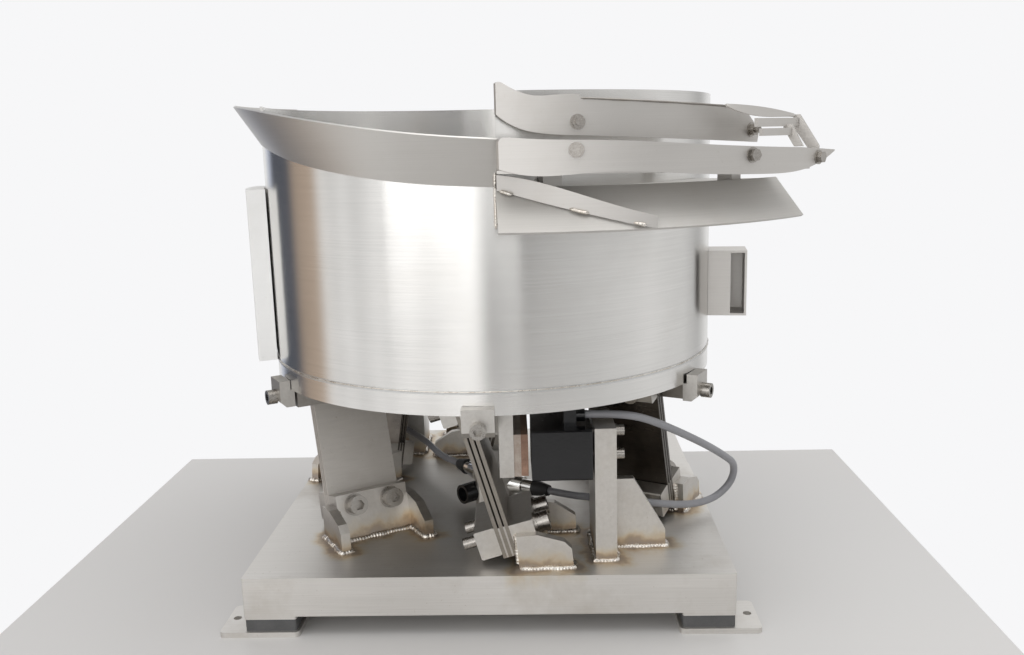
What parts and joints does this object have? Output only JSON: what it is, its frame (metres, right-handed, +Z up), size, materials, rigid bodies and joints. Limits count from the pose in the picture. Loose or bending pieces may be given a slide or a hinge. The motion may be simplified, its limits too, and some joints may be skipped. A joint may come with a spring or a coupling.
{
  "type": "vibratory bowl feeder",
  "caption": "Stainless bowl on tilted leaf springs over a square base, driven by electromagnets, with a spiral track inside and a guided exit track around its rim.",
  "frame": {"origin": "centre of the four foot holes, in the plane the feet stand on", "axes": "+Z up through the bowl's centre; +Y from the side with the exit track towards the back; +X to the side where the exit track ends"},
  "size_m": [0.498, 0.4608, 0.4244],
  "materials": {
    "base_steel": "brushed stainless cover and feet",
    "welded_steel": "machined and welded stainless with heat tint at the beads",
    "machined_steel": "ground stainless",
    "leaf_steel": "rolled spring steel",
    "bowl_stainless": "brushed stainless sheet",
    "screw_steel": "bright stainless screws",
    "bright_sleeve": "bright turned metal",
    "lamination": "stacked sheet steel",
    "rust_copper": "lightly rusted plate",
    "magnet_black": "potted, semi-matt black",
    "boot_black": "matt black boot",
    "rubber": "dark grey rubber",
    "cable_grey": "grey sheath"
  },
  "bodies": {
    "base": {"base_plate": "base_steel", "base_cover": "base_steel", "foot_plates": "base_steel", "foot_pads": "rubber", "foot_flanges": "base_steel", "spring_brackets": "welded_steel", "lower_clamp_bars": "machined_steel", "lower_spring_screws": "screw_steel", "lower_washers": "screw_steel", "lower_spacers": "machined_steel", "magnet_posts": "welded_steel", "magnet_housings": "magnet_black", "magnet_cores": "lamination", "magnet_screws": "screw_steel", "cable_glands": "magnet_black", "junction_box": "machined_steel", "junction_lid": "machined_steel", "connector_boots": "boot_black", "connector_sleeves": "bright_sleeve", "connector_nuts": "bright_sleeve", "spare_socket": "bright_sleeve", "front_cable": "cable_grey", "rear_cable": "cable_grey"},
    "leaf_springs": {"leaf_pack_1": "leaf_steel", "leaf_pack_2": "leaf_steel", "leaf_pack_3": "leaf_steel", "leaf_pack_4": "leaf_steel", "leaf_pack_5": "leaf_steel", "leaf_pack_6": "leaf_steel"},
    "bowl": {"upper_spacers": "machined_steel", "drive_frame": "welded_steel", "upper_clamp_bars": "machined_steel", "upper_spring_screws": "screw_steel", "toe_clamps": "machined_steel", "toe_screws": "screw_steel", "armature_hangers": "machined_steel", "armature_stacks": "lamination", "pole_plates": "rust_copper", "bowl_ring": "bowl_stainless", "bowl_floor": "bowl_stainless", "bowl_cone": "bowl_stainless", "bowl_lip": "bowl_stainless", "bowl_wall": "bowl_stainless", "lower_track": "bowl_stainless", "middle_track": "bowl_stainless", "upper_track": "bowl_stainless", "inner_guide": "bowl_stainless", "outer_rail": "bowl_stainless", "track_floor": "bowl_stainless", "return_pan": "bowl_stainless", "return_apron": "bowl_stainless", "deflector_strip": "bowl_stainless", "floor_supports": "bowl_stainless", "guide_nuts": "screw_steel", "rail_bolts": "screw_steel", "side_cover": "bowl_stainless", "wall_bracket": "bowl_stainless", "exit_guard": "bowl_stainless", "exit_bars": "bowl_stainless", "exit_plate": "bowl_stainless"}
  },
  "joints": [
    {"name": "bowl_lift", "type": "slide", "parent": "base", "child": "leaf_springs", "axis": [0, 0, 1], "range_m": [-0.0003, 0.0003], "stiffness_N_per_m": 400000, "springref_m": 0.0007, "deforming": ["leaf_pack_1", "leaf_pack_2", "leaf_pack_3", "leaf_pack_4", "leaf_pack_5", "leaf_pack_6"]},
    {"name": "bowl_twist", "type": "hinge", "parent": "leaf_springs", "child": "bowl", "pos_m": [0, 0, 0], "axis": [0, 0, 1], "range_deg": [-0.4, 0.4], "stiffness_Nm_per_rad": 4000}
  ],
  "couplings": [
    {"joint": "bowl_lift", "follows": "bowl_twist", "m_per_rad": 0.0411}
  ]
}
